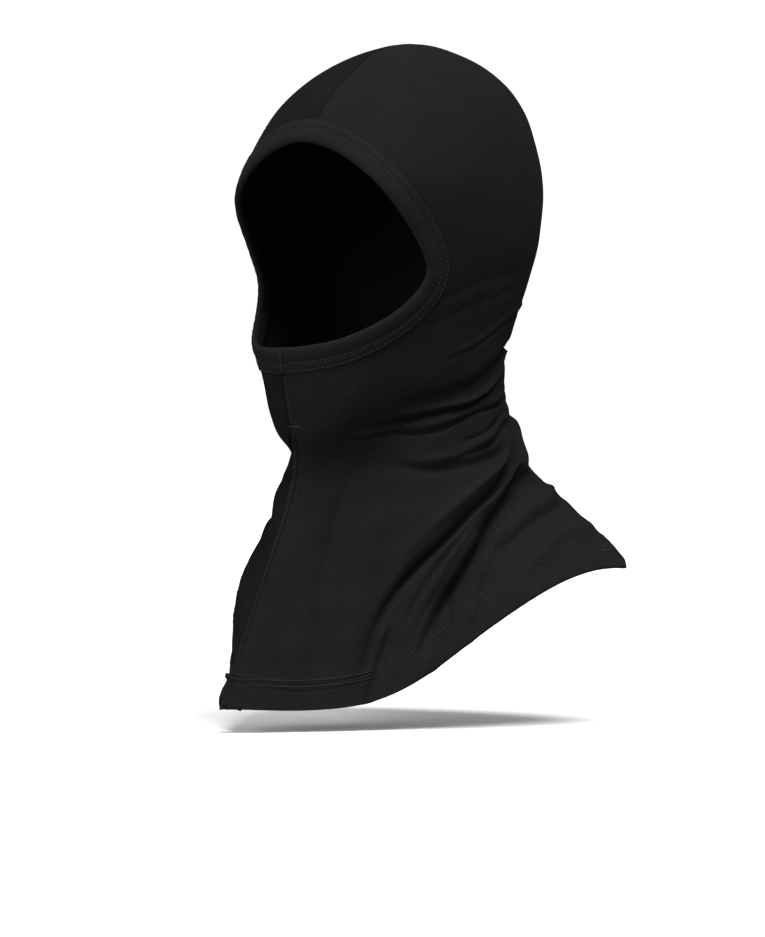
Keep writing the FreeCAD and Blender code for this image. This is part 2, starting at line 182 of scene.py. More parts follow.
def curve(rows, t):
    """Smooth curve through all rows but the first and last, which only steer its ends. t counts rows."""
    i = np.minimum(t.astype(int), len(rows) - 4)
    f = (t - i)[..., None]
    a, b, c, d = rows[i], rows[i + 1], rows[i + 2], rows[i + 3]
    cubic = 3 * b - a - 3 * c + d
    square = 2 * a - 5 * b + 4 * c - d
    return 0.5 * (2 * b + (c - a) * f + square * f ** 2 + cubic * f ** 3)


def spline(table, place, mirrored_end=False):
    """Smooth curve through a table's rows, at places from 0 to 1. The first value is odd about the start."""
    table = np.asarray(table, float)
    sign = np.ones(table.shape[1])
    sign[0] = -1
    after = sign * table[-2] if mirrored_end else 2 * table[-1] - table[-2]
    rows = np.vstack([sign * table[1], table, after])
    return curve(rows, np.maximum(place, 0) * (len(table) - 1))


def smooth(value, low, high):
    """0 below low, 1 above high, and a smooth step between."""
    t = np.clip((value - low) / (high - low), 0, 1)
    return t * t * (3 - 2 * t)


def hump(value, centre, width):
    """A bell of height 1."""
    return np.exp(-((value - centre) / width) ** 2)


def relief(bells, distance):
    """Sum of bells, each given by its height, centre and half width."""
    return sum(height * hump(distance, centre, width) for height, centre, width in bells)


def worn(side, xi, eta):
    """The outer face of the cloth as it is worn."""
    xi, eta = np.broadcast_arrays(np.asarray(xi, float), np.asarray(eta, float))
    s = np.hypot(xi, eta)
    safe = np.maximum(s, 1e-9)
    ahead = np.where(s > 1e-9, -xi / safe, 1)
    across = np.where(s > 1e-9, eta / safe, 0)
    share = smooth(ahead, -0.5, 0.5)
    front, back, flank = spline(FRONT, s), spline(BACK, s), spline(SIDE, s)
    reach = back[..., 0] + share * (front[..., 0] - back[..., 0])
    height = back[..., 1] + share * (front[..., 1] - back[..., 1])
    half = 0 if side > 0 else 1
    wedge = np.where(ahead > 0, 2.6 * across * ahead ** 2, 0)
    full = 1 + share * 4 * (ahead * across) ** 2 * spline(SWELL, s)[..., 0]
    full = full + wedge * spline(PROW, s)[..., half]
    drop = spline(DIP, s)
    dip = drop[..., half] + (drop[..., 2] * across ** 2 if side > 0 else 0)
    x = side * flank[..., 0] * across * full
    y = flank[..., 2] * across ** 2 - reach * ahead * full
    z = flank[..., 1] * across ** 2 + height * ahead ** 2 - wedge * dip
    return np.stack([x, y, z], -1)


def dot(a, b):
    return (a * b).sum(-1)


def unit(v):
    return v / np.maximum(np.linalg.norm(v, axis=-1, keepdims=True), 1e-12)


def walked_along(line):
    """Distance walked along a line, at each of its points."""
    return np.concatenate([[0], np.cumsum(np.linalg.norm(np.diff(line, axis=0), axis=-1))])


def slopes(side, xi, eta, step=2e-4):
    """How the worn shape runs per unit of each of a place's two coordinates."""
    along_xi = (worn(side, xi + step, eta) - worn(side, xi - step, eta)) / (2 * step)
    along_eta = (worn(side, xi, eta + step) - worn(side, xi, eta - step)) / (2 * step)
    return along_xi, along_eta


def outward(side, xi, eta):
    """Outward direction of the worn shape."""
    along_xi, along_eta = slopes(side, xi, eta)
    return unit(np.cross(along_eta, along_xi) * side)


def walk(side, xi, eta, direction, distance):
    """The place reached by walking over the cloth in a direction in space, in three short steps."""
    for _ in range(3):
        along_xi, along_eta = slopes(side, xi, eta)
        a, b, c = dot(along_xi, along_xi), dot(along_xi, along_eta), dot(along_eta, along_eta)
        p, q = dot(along_xi, direction), dot(along_eta, direction)
        scale = distance / 3 / (a * c - b * b)
        xi, eta = xi + (c * p - b * q) * scale, eta + (a * q - b * p) * scale
    return xi, eta


def opening_place(side, v, width):
    """Places at distances from the opening's edge. v runs from under the nose, 0, to the forehead, 1."""
    v = np.asarray(v, float)
    ends = []
    for w in (v, np.maximum(v - 0.01, 0), np.minimum(v + 0.01, 1)):
        row = spline(OPENING, w, mirrored_end=True)
        angle = np.radians(row[..., 0])
        ends.append((-row[..., 1] * np.cos(angle), row[..., 1] * np.sin(angle)))
    (xi, eta), before, after = ends
    along = worn(side, *after) - worn(side, *before)
    at_end = (v < 1e-6) | (v > 1 - 1e-6)
    along[..., 1:] = np.where(at_end[..., None], 0, along[..., 1:])
    away = np.cross(unit(along), outward(side, xi, eta)) * side
    return walk(side, xi, eta, away, width)


def front_shift(side, s):
    """How far the front edge of a half stands from the centre, below the bar tack."""
    down = np.maximum(s - TACK, 0) / (1 - TACK)
    ramp = smooth(down, 0, 0.125)
    if side > 0:
        return -ramp * (LEFT_LAP[0] + down ** 3 * (LEFT_LAP[1] - LEFT_LAP[0]))
    return ramp * RIGHT_INSET


def panel_place(side, u, v):
    """A place on a half: u from the face opening, 0, to the hem, 1; v from the front to the back."""
    inner_xi, inner_eta = opening_place(side, v, EDGE_IN_BINDING)
    xi = inner_xi + u * (-np.cos(np.pi * v) - inner_xi)
    eta = inner_eta + u * (np.sin(np.pi * v) - inner_eta)
    fade = np.clip(1 - v / 0.4, 0, 1) ** 4
    return xi, eta + front_edge(side, -xi) * fade


# ---- relief of the cloth over the worn shape
def fold_line(side, path, count=70):
    """Points along a fold over the worn shape, and the outward directions there."""
    path = np.array(path, float)
    rows = np.vstack([2 * path[0] - path[1], path, 2 * path[-1] - path[-2]])
    place = curve(rows, np.linspace(0, len(path) - 1, count))
    angle, s = np.radians(place[:, 0]), place[:, 1]
    xi, eta = -s * np.cos(angle), s * np.sin(angle)
    return worn(side, xi, eta), outward(side, xi, eta)


def fold_frames(side):
    """The folds of one half in space: line, direction along it, direction up across it, and its sizes."""
    frames = []
    for path, depth, up_width, down_width in FOLDS[side]:
        line, normal = fold_line(side, path)
        along = unit(np.gradient(line, axis=0))
        up = np.cross(normal, along) * side
        frames.append((line, along, up, depth, up_width, down_width))
    return frames


FOLD_FRAMES = {side: fold_frames(side) for side in (1, -1)}
FOLD_REACH = 3.2    # a fold is felt this many of its half widths away
FOLD_LEAN = 0.12    # the lip of a valley leans over it by this share of its depth


def fold_relief(side, points):
    """Height of all folds of one half at points on the worn shape, and how far the cloth leans over."""
    flat = points.reshape(-1, 3)
    height = np.zeros(len(flat))
    lean = np.zeros((len(flat), 3))
    for line, along, up, depth, up_width, down_width in FOLD_FRAMES[side]:
        reach = FOLD_REACH * max(up_width, down_width)
        length = np.linalg.norm(line[1:] - line[:-1], axis=1).mean()
        near = np.all((flat > line.min(0) - reach) & (flat < line.max(0) + reach), axis=1)
        spot = flat[near]
        if not len(spot):
            continue
        apart = (spot ** 2).sum(1)[:, None] + (line ** 2).sum(1)[None] - 2 * spot @ line.T
        k = apart.argmin(1)
        past = dot(spot - line[k], along[k])
        last = len(line) - 1
        step = np.clip(past / length, -0.5, 0.5)
        j = np.clip(k + np.sign(step).astype(int), 0, last)
        part = np.abs(step)[:, None]
        foot = line[k] * (1 - part) + line[j] * part
        beside = dot(spot - foot, up[k] * (1 - part) + up[j] * part)
        beyond = np.where(k == 0, np.minimum(past, 0), np.where(k == last, np.maximum(past, 0), 0))
        distance = np.hypot(beside, beyond * 0.7)
        width = np.where(beside > 0, up_width, down_width)
        share = (k + past / length) / last
        taper = np.sqrt(smooth(share, 0, 0.22) * (1 - smooth(share, 0.72, 1.0)))
        bell = 1 / (1 + (distance / width) ** 2) ** 1.7
        height[near] += depth * taper * bell
        if depth < 0:
            push = -FOLD_LEAN * depth * taper * bell * np.clip(beside / width, -1, 1)
            lean[near] -= up[k] * push[:, None]
    return height.reshape(points.shape[:-1]), lean.reshape(points.shape)


# Slow waves through space: direction, length, phase.
WAVES = [(Vector(way).normalized(), length, phase) for way, length, phase in (
    ((1, 0.3, 0.6), 61, 0.4), ((-0.4, 1, 0.3), 47, 2.1), ((0.5, -0.6, 1), 38, 4.4),
    ((0.2, 0.9, -0.7), 29, 1.2), ((1, -0.5, 0.2), 23, 5.3), ((-0.7, 0.3, 1), 19, 3.3))]
LONGEST_WAVE = 61


def undulation(points):
    """A shallow unevenness without a pattern, about 1 at its highest."""
    total = np.zeros(points.shape[:-1])
    for direction, length, phase in WAVES:
        wave = np.sin(points @ np.array(direction) * (2 * np.pi / length) + phase)
        total += wave * (length / LONGEST_WAVE) ** 0.7
    return total / 2.2


def eta_rate(side, xi, eta):
    """Millimetres of cloth sideways per unit of the second coordinate."""
    return np.linalg.norm(slopes(side, xi, eta)[1], axis=-1)


def front_edge(side, s):
    """Second coordinate of the front edge of a half."""
    return front_shift(side, s) / spline(SIDE, np.maximum(s, 0.2))[..., 0]


def hem_rate(side, xi, eta):
    """Millimetres of cloth per share of the way from the crown to a place."""
    step = worn(side, xi, eta) - worn(side, xi * 0.99, eta * 0.99)
    return np.linalg.norm(step, axis=-1) / 0.01


def from_hem(side, xi, eta):
    """Distance over the cloth from the hem."""
    s = np.hypot(xi, eta)
    return (1 - s) / s * hem_rate(side, xi, eta)


def seam_swing(points):
    """How far the cloth is pulled to the left over the forehead, so that the crown seam lies askew there."""
    ahead = smooth(-points[..., 1], 20, 70) * (1 - smooth(-points[..., 1], 112, 125))
    high = smooth(points[..., 2], -95, -60)
    return SEAM_SWING * ahead * high * np.exp(-(points[..., 0] / SEAM_REACH) ** 2)


def swung(side, xi, eta):
    """Second coordinate of a place of the cloth once the askew seam has moved it to the left."""
    return eta + side * seam_swing(worn(side, xi, eta)) / eta_rate(side, xi, eta)


def settled(side, xi, eta):
    """Where the cloth lies once the askew seam has pushed it sideways, and its outward direction."""
    moved = swung(side, xi, eta)
    centre = np.zeros_like(moved)
    across = np.abs(moved) * eta_rate(side, xi, centre) / eta_rate(-side, xi, centre)
    crossed = ((moved < 0) & (-xi < TACK))[..., None]
    base = np.where(crossed, worn(-side, xi, across), worn(side, xi, moved))
    normal = np.where(crossed, outward(-side, xi, across), outward(side, xi, moved))
    return base, normal


def lie(side, xi, eta):
    """The cloth's outer face with its seams, hem and folds."""
    base, normal = settled(side, xi, eta)
    height, lean = fold_relief(side, base)
    rate = eta_rate(side, xi, eta)
    hem = from_hem(side, xi, eta)
    on_slit = -xi > TACK
    # the hem is stiffer, so the folds are lower there
    height = height * (smooth(hem, 0, 25) * 0.4 + 0.6)
    loose = smooth(np.hypot(xi, eta), 0.5, 0.7)
    edge = (eta - front_edge(side, -xi)) * rate
    by_slit = np.where(on_slit, 1 - smooth(edge, 0, SLIT_CALM), 0)
    height = height + undulation(base) * (0.25 + 0.75 * loose) * (1 - by_slit)

    height = height + relief(SEAM_RELIEF, eta * rate) * np.where(on_slit, 0, 1)
    height = height + relief(SLIT_RELIEF, edge) * np.where(on_slit, smooth(-xi, TACK, TACK + 0.02), 0)

    step = HEM_STEP * (1 - smooth(hem, HEM_DEPTH - 0.5, HEM_DEPTH + 0.9))
    around = np.arctan2(eta, -xi)
    # the twin rows draw the cloth into small puckers
    pucker = 0.28 * np.sin(around * 150 + 2 * np.sin(around * 23)) * hump(hem, 16, 5)
    height = height + step + relief(HEM_RELIEF, hem) + pucker
    out = base + normal * height[..., None] + lean
    out[..., 0] += side * SEAM_GAP
    return out


def lie_normal(side, xi, eta, step=0.0015):
    """Normal of the cloth with its folds."""
    along_xi = lie(side, xi + step, eta) - lie(side, xi - step, eta)
    along_eta = lie(side, xi, eta + step) - lie(side, xi, eta - step)
    return unit(np.cross(along_eta, along_xi) * side)


# ---- knit coordinates, in millimetres
class KnitMap:
    """How far a place lies across and along the wales of one half."""

    RINGS = 120
    LAST_STATION = 1.02
    DEGREES = 180
    FLANK = 90

    def __init__(self, side):
        self.stations = np.linspace(0.0, self.LAST_STATION, self.RINGS)
        angles = np.linspace(0, np.pi, self.DEGREES + 1)
        s, angle = np.meshgrid(self.stations, angles, indexing="ij")
        ring = worn(side, -s * np.cos(angle), s * np.sin(angle))
        step = np.linalg.norm(np.diff(ring, axis=1), axis=-1)
        walked = np.concatenate([np.zeros((len(s), 1)), np.cumsum(step, axis=1)], axis=1)
        self.around = walked - walked[:, self.FLANK:self.FLANK + 1]
        self.down = walked_along(ring[:, self.FLANK])

    def at(self, points, xi, eta):
        s = np.hypot(xi, eta)
        angle = np.arctan2(eta, -xi)
        row = np.clip(s / self.LAST_STATION * (self.RINGS - 1), 0, self.RINGS - 1.001)
        column = np.clip(angle / np.pi * self.DEGREES, 0, self.DEGREES - 0.001)
        i, j = row.astype(int), column.astype(int)
        f, g = row - i, column - j
        ring = ((1 - f) * (1 - g) * self.around[i, j] + f * (1 - g) * self.around[i + 1, j]
                + (1 - f) * g * self.around[i, j + 1] + f * g * self.around[i + 1, j + 1])
        low = smooth(s, 0.16, 0.42)
        across = (1 - low) * points[..., 1] + low * ring
        over = np.interp(np.abs(eta), self.stations, self.down)
        straight = np.interp(s, self.stations, self.down)
        along = (1 - low) * over + low * straight
        degrees = np.degrees(angle)
        pull = hump(s, 0.58, 0.11) * smooth(degrees, 8, 40) * (1 - smooth(degrees, 95, 130))
        return np.stack([across, along, pull], -1)


# ---- mesh helpers
def make_object(name, points, faces, knit=None):
    """A mesh object from points in millimetres, listed or in a grid."""
    mesh = bpy.data.meshes.new(name)
    mesh.from_pydata((np.reshape(points, (-1, 3)) * MM).tolist(), [], faces)
    mesh.validate()
    mesh.polygons.foreach_set("use_smooth", [True] * len(mesh.polygons))
    if knit is not None:
        attribute = mesh.attributes.new("knit", "FLOAT_VECTOR", "POINT")
        attribute.data.foreach_set("vector", np.asarray(knit, np.float32).ravel())
    mesh.update()
    piece = bpy.data.objects.new(name, mesh)
    bpy.context.collection.objects.link(piece)
    return piece


def grid_faces(rows, columns, flip=False, ring=False):
    """Faces between the points of a grid. A ring joins its last row to its first."""
    faces = []
    for i in range(rows if ring else rows - 1):
        a, b = i * columns, (i + 1) % rows * columns
        for j in range(columns - 1):
            face = (a + j, a + j + 1, b + j + 1, b + j)
            faces.append(face[::-1] if flip else face)
    return faces


def give_thickness(piece, thick):
    """A second face inside, joined round the rim."""
    modifier = piece.modifiers.new("thickness", "SOLIDIFY")
    modifier.thickness = thick * MM
    modifier.offset = -1
    modifier.use_even_offset = False
    modifier.use_rim = True
    return piece


THREAD_SIDES = 6    # of a stitch's cross-section
# Rings of a stitch: share of the way along it, share of its radius.
THREAD_RINGS = [(0.0, 0.25), (0.08, 0.75), (0.3, 1.0), (0.7, 1.0), (0.92, 0.75), (1.0, 0.25)]


def capsule(start, end, up, radius, sides=THREAD_SIDES):
    """Points and faces of one stitch: a short thread with rounded ends that dips at both."""
    along = end - start
    length = np.linalg.norm(along)
    along = along / length
    across = unit(np.cross(up, along))
    points, faces = [], []
    for place, share in THREAD_RINGS:
        sink = radius * 1.3 * (2 * place - 1) ** 4
        centre = start + along * length * place - up * sink
        for k in range(sides):
            turn = 2 * np.pi * k / sides
            points.append(centre + radius * share * (np.cos(turn) * across + np.sin(turn) * up))
    last = (len(THREAD_RINGS) - 1) * sides
    for i in range(0, last, sides):
        for k in range(sides):
            a, b = i + k, i + (k + 1) % sides
            faces.append((a, b, b + sides, a + sides))
    faces.append(tuple(range(sides))[::-1])
    faces.append(tuple(range(last, last + sides)))
    return points, faces


def thread_object(name, bits):
    """One object from many short threads: points, faces and knit coordinates of each."""
    points, faces, knit = [], [], []
    for bit, bit_faces, bit_knit in bits:
        faces += [tuple(k + len(points) for k in face) for face in bit_faces]
        points += bit
        knit += bit_knit
    return make_object(name, points, faces, knit)


def stitches(name, points, normals, pitch=STITCH, gap=0.75, radius=0.25, lift=0.22, closed=False):
    """Single stitches along a line, one after another."""
    if closed:
        points = np.vstack([points, points[:1]])
        normals = np.vstack([normals, normals[:1]])
    walked = walked_along(points)
    count = max(int(walked[-1] / pitch), 1)
    pitch = walked[-1] / count

    def at(distance, values):
        return np.array([np.interp(distance, walked, values[:, k]) for k in range(3)])

    bits = []
    for i in range(count):
        start, end = i * pitch + gap / 2, (i + 1) * pitch - gap / 2
        up = unit(at((start + end) / 2, normals))
        bit, faces = capsule(at(start, points) + up * lift, at(end, points) + up * lift, up, radius)
        reach = (end - start) / (len(THREAD_RINGS) - 1)
        knit = [(start + k // THREAD_SIDES * reach, k % THREAD_SIDES * 0.3, i) for k in range(len(bit))]
        bits.append((bit, faces, knit))
    return thread_object(name, bits)


def stand_in(piece, slot, *nodes):
    """The piece shows in place of these nodes of the CAD part."""
    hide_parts(*nodes)
    return piece


# ---- the cloth
def uneven(fine, count, end, near):
    """Parameters from 0 to 1: small steps of a size near each end, and even ones between."""
    base = np.linspace(0, 1, count)
    weight = 1 - (1 - fine) * (np.exp(-base / near) + np.exp(-(1 - base) / near) * end)
    walked = np.concatenate([[0], np.cumsum((weight[1:] + weight[:-1]) / 2)])
    return walked / walked[-1]


COLUMNS = 225       # of the cloth's grid, from the front to the back
ROWS = 190          # of the grid above the hem
HEM_STEPS = 42      # rows of the grid at the hem
HEM_BAND = 22       # height of those rows together
TURNED_UP = (0.3, 1.2, 3, 6, 9, 12, 14.5, 16.5, 18.5, HEM_DEPTH)   # rows of the turned-up layer


def half_cloth(side, name, nodes):
    """One half with its front flap: one sheet from the binding to the hem, turned up inside."""
    v = uneven(0.18, COLUMNS, 1, 0.045)
    above, below = (worn(side, *panel_place(side, u, v)) for u in (0.99, 1.0))
    rate = np.linalg.norm(below - above, axis=-1) / 0.01
    hem = np.linspace(HEM_BAND, 0, HEM_STEPS)[:, None] / rate[None]
    uu = np.concatenate([np.linspace(0, 1, ROWS)[:-1, None] * (1 - hem[:1]), 1 - hem])
    vv = np.broadcast_to(v[None], uu.shape)
    xi, eta = panel_place(side, uu, vv)
    outer = lie(side, xi, eta)
    knit = KnitMap(side).at(worn(side, xi, eta), xi, eta)

    turned, turned_knit = [], []
    edge_knit = knit[-1]
    for inside in TURNED_UP:
        scale = 1 - inside / np.maximum(hem_rate(side, xi[-1], eta[-1]), 1)
        place = xi[-1] * scale, eta[-1] * scale
        depth = 2 * CLOTH + (0.45 if inside > 1 else -0.55)
        turned.append(lie(side, *place) - lie_normal(side, *place) * depth)
        turned_knit.append(edge_knit + np.array([0, inside, 0]))
    points = np.concatenate([outer, np.array(turned)])
    knit = np.concatenate([knit, np.array(turned_knit)])
    faces = grid_faces(len(points), COLUMNS, side > 0)
    piece = make_object(name, points, faces, knit)
    give_thickness(piece, CLOTH)
    return stand_in(piece, "knit", *nodes)


def hem_row_places(side, distance):
    """Places along a row beside the hem, from the front edge to the back seam."""
    angle = np.radians(np.linspace(0.0, 179.2, 260))
    xi, eta = -np.cos(angle), np.sin(angle)
    scale = 1 - distance / hem_rate(side, xi, eta)
    xi, eta = xi * scale, eta * scale
    fade = np.clip(1 - np.degrees(angle) / 72, 0, 1) ** 4
    shift = front_shift(side, -xi) + HEM_ROW_START[side]
    return xi, eta + shift / spline(SIDE, np.maximum(-xi, 0.2))[..., 0] * fade


def front_places(side, distance, start, end, count=120):
    """Places at a distance from the front edge or seam of a half."""
    s = np.linspace(start, end, count)
    eta = (front_shift(side, s) + distance) / spline(SIDE, s)[..., 0]
    return -s, eta


def row_on_cloth(name, side, places, nodes, **kind):
    """A row of stitches on the folded cloth."""
    xi, eta = places
    piece = stitches(name, lie(side, xi, eta), lie_normal(side, xi, eta), **kind)
    return stand_in(piece, "thread", *nodes)


# ---- the binding
# Outer face of the binding across its width: distance from the opening's edge, height over the cloth.
BINDING_OUT = [(14.6, 0.2), (14.4, 0.8), (13.9, 1.0), (13.3, 0.75), (13.0, 0.6), (12.7, 0.75), (12.0, 1.05),
               (10.8, 1.2), (9.6, 1.05), (8.8, 0.75), (8.5, 0.6), (8.2, 0.75), (7.2, 1.15), (5.5, 1.35),
               (3.5, 1.4), (1.8, 1.2), (0.5, 0.7), (-0.2, -0.2)]
# Its inner face, the same way.
BINDING_IN = [(-0.25, -1.0), (0.3, -1.9), (1.5, -2.5), (4.0, -2.6), (7.0, -2.4), (8.5, -2.1), (11.0, -2.4)]
SPINE = 12          # the point of the profile that the binding's length is measured along
TURNS = 150         # sections along one half of the opening


def binding_at(side, v, width, height):
    """Points at widths from the opening's edge and heights over the worn cloth, and outward directions."""
    xi, eta = opening_place(side, v, width)
    normal = outward(side, xi, eta)
    return worn(side, xi, eta) + normal * np.asarray(height)[..., None], normal


def loop_sides(count):
    """Sections round the whole opening: side of the wearer and place from the nose to the forehead."""
    up = np.linspace(0, 1, count)
    return [(1, up[:-1]), (-1, up[::-1][:-1])]


def binding():
    """The folded strip round the whole opening."""
    profile = np.array(BINDING_OUT + BINDING_IN, float)
    walked = walked_along(profile)
    points, knit = [], []
    length = 0.0
    for side, v in loop_sides(TURNS):
        vv, ww = np.meshgrid(v, profile[:, 0], indexing="ij")
        hh = np.broadcast_to(profile[:, 1], vv.shape)
        wave = np.sin(vv * 190 + 1.7 * np.sin(vv * 31)) * 0.10 * (hh > 0.5)
        part = binding_at(side, vv, ww, hh + wave)[0]
        along = length + walked_along(part[:, SPINE])
        length = 2 * along[-1] - along[-2]
        knit.append(np.stack([np.broadcast_to(along[:, None], vv.shape),
                              np.broadcast_to(walked[None], vv.shape), np.zeros_like(vv)], -1))
        points.append(part)
    points, knit = np.concatenate(points), np.concatenate(knit)
    faces = grid_faces(len(points), len(profile), True, ring=True)
    piece = make_object("face_opening_binding_strip", points, faces, knit)
    give_thickness(piece, FACING_PLY)
    return stand_in(piece, "binding_knit", "face_opening_binding")


def profile_height(width):
    """Height of the binding's outer face at a distance from the edge."""
    table = np.array(sorted(BINDING_OUT), float)
    return np.interp(width, table[:, 0], table[:, 1])


def binding_row(name, width, node):
    """A closed row of stitches on the binding, at a distance from the opening's edge."""
    parts = [binding_at(side, v, np.full_like(v, width), profile_height(width))
             for side, v in loop_sides(TURNS)]
    points, normals = map(np.concatenate, zip(*parts))
    piece = stitches(name, points, normals, closed=True, lift=0.3)
    return stand_in(piece, "thread", node)


# The lap under the nose along the opening: its right and left ends and the row that joins it.
LAP = (-0.055, 0.020)
JOINT = 0.013


def binding_lap():
    """The binding's end, folded under and laid over its start under the nose."""
    profile = np.array(BINDING_OUT + BINDING_IN[:3], float)
    width, level = profile[:, 0], profile[:, 1]
    sections, knit = [], []
    for place in np.linspace(*LAP, 34):
        side = 1 if place > 0 else -1
        over = 0.7 * smooth(LAP[1] - place, 0, 0.004) * smooth(place - LAP[0], 0, 0.02) + 0.04
        crease = 0.45 * hump(width, 12.5 + 230 * place, 1.1) - 0.5 * hump(width, 10 + 230 * place, 1.1)
        crease = (crease + 0.3 * hump(width, 7 + 230 * place, 0.9)) * smooth(-place, 0, 0.012)
        height = level + over * np.where(level > -0.5, 1, -0.6) + crease * (level > 0.3)
        sections.append(binding_at(side, np.full(len(profile), abs(place)), width, height)[0])
        knit.append([(place * 180, k, 0) for k in range(len(profile))])
    piece = make_object("binding_lap_end", sections, grid_faces(len(sections), len(profile), True), knit)
    give_thickness(piece, LAP_PLY)
    return stand_in(piece, "binding_knit", "binding_lap")


def joint_stitch():
    """The row across the binding that joins its lapped end."""
    width = np.linspace(1.0, 13.6, 40)
    points, normal = binding_at(1, np.full_like(width, JOINT), width, profile_height(width) + 0.8)
    piece = stitches("binding_joint_row", points, normal, pitch=JOINT_STITCH, lift=0.05)
    return stand_in(piece, "thread", "binding_joint_stitch")


# ---- seams inside, tack, label
KNIT_PER_STATION = 400      # millimetres of cloth per unit of station, roughly


def strip_object(name, stations, offsets, rows, thick, flip=False):
    """A strip from rows of points, each at an offset across it, with its knit coordinates."""
    knit = [np.stack([np.full_like(stations, offset), stations * KNIT_PER_STATION, 0 * stations], -1)
            for offset in offsets]
    faces = grid_faces(len(offsets), len(stations), flip)
    return give_thickness(make_object(name, rows, faces, knit), thick)


def centre_strip(name, stations, node):
    """The seam allowance inside the centre seam, laid open over the cloth's inner face."""
    offsets = np.array([-1, -0.6, -0.2, 0.2, 0.6, 1.0]) * SEAM_ALLOWANCE
    rows = []
    for offset in offsets:
        side = 1 if offset > 0 else -1
        eta = swung(side, stations, abs(offset) / eta_rate(side, stations, np.zeros_like(stations)))
        out = outward(side, stations, swung(side, stations, np.full_like(stations, 1e-4)))
        out[:, 0] *= 0.3 * abs(offset) / SEAM_ALLOWANCE
        rows.append(worn(side, stations, eta) - unit(out) * ALLOWANCE_DEPTH)
    return stand_in(strip_object(name, stations, offsets, rows, SEAM_PLY), "knit", node)


def overlock(stations):
    """The zigzag thread over the raw edges of the seam allowance."""
    offset = np.where(np.arange(len(stations)) % 2, SEAM_ALLOWANCE, 0.6)
    eta = swung(1, stations, offset / eta_rate(1, stations, np.zeros_like(stations)))
    normals = -outward(1, stations, eta)
    points = worn(1, stations, eta) + normals * (ALLOWANCE_DEPTH + SEAM_PLY + 0.15)
    bits = []
    for i in range(len(points) - 1):
        bit, faces = capsule(points[i], points[i + 1], normals[i], 0.2, sides=5)
        bits.append((bit, faces, [(k, 0, i) for k in range(len(bit))]))
    return stand_in(thread_object("crown_back_overlock", bits), "thread", "crown_back_seam_overlock")


TACK_WIDTH = (0.4, 6.2)     # where the bar tack begins and ends, from the front seam
TACK_STITCHES = 22


def bar_tack():
    """Closely set short stitches across the top of the slit."""
    bits = []
    rate = eta_rate(1, np.array([-TACK]), np.array([0.0]))[0]
    for i, offset in enumerate(np.linspace(*TACK_WIDTH, TACK_STITCHES)):
        ends = []
        for s in (TACK + 0.0010, TACK + 0.0026):
            xi = np.array([-s + 0.0003 * offset])
            eta = np.array([offset + (0.12 if i % 2 else -0.12)]) / rate
            normal = lie_normal(1, xi, eta)[0]
            ends.append(lie(1, xi, eta)[0] + normal * 0.25)
        bit, faces = capsule(ends[0], ends[1], normal, 0.2)
        bits.append((bit, faces, [(k, 0, i) for k in range(len(bit))]))
    return stand_in(thread_object("slit_bar_tack_stitches", bits), "thread", "slit_bar_tack")


def slit_facing(side, name):
    """The narrow turned-in edge inside the slit."""
    s = np.linspace(TACK + 0.006, 0.985, 150)
    offsets = (0.25, 1.5, 3.0, 4.6)
    rows = []
    for offset in offsets:
        place = front_places(side, offset, s[0], s[-1], len(s))
        rows.append(lie(side, *place) - lie_normal(side, *place) * (CLOTH + 0.12))
    piece = strip_object(name, s, offsets, rows, FACING_PLY, side < 0)
    return piece


def care_label():
    """A small plain folded tape, sewn into the back seam at the nape."""
    stations = np.linspace(0.6, 0.645, 24)
    offsets = np.linspace(-LABEL_HALF_WIDTH, LABEL_HALF_WIDTH, 21)
    rows = []
    for offset in offsets:
        side = 1 if offset > 0 else -1
        eta = abs(offset) / eta_rate(side, stations, np.zeros_like(stations))
        curl = 0.5 * (offset / LABEL_HALF_WIDTH) ** 2 + np.linspace(0, 1, len(stations)) ** 2
        depth = CLOTH + 2.3 + curl
        rows.append(worn(side, stations, eta) - outward(side, stations, eta) * depth[:, None])
    piece = strip_object("care_label_tape", stations, offsets, rows, LABEL_PLY)
    return stand_in(piece, "label", "care_label")


# ---- materials
def set_inputs(node, *pairs):
    """Values of a node's inputs, by name."""
    for key, value in pairs:
        node.inputs[key].default_value = value


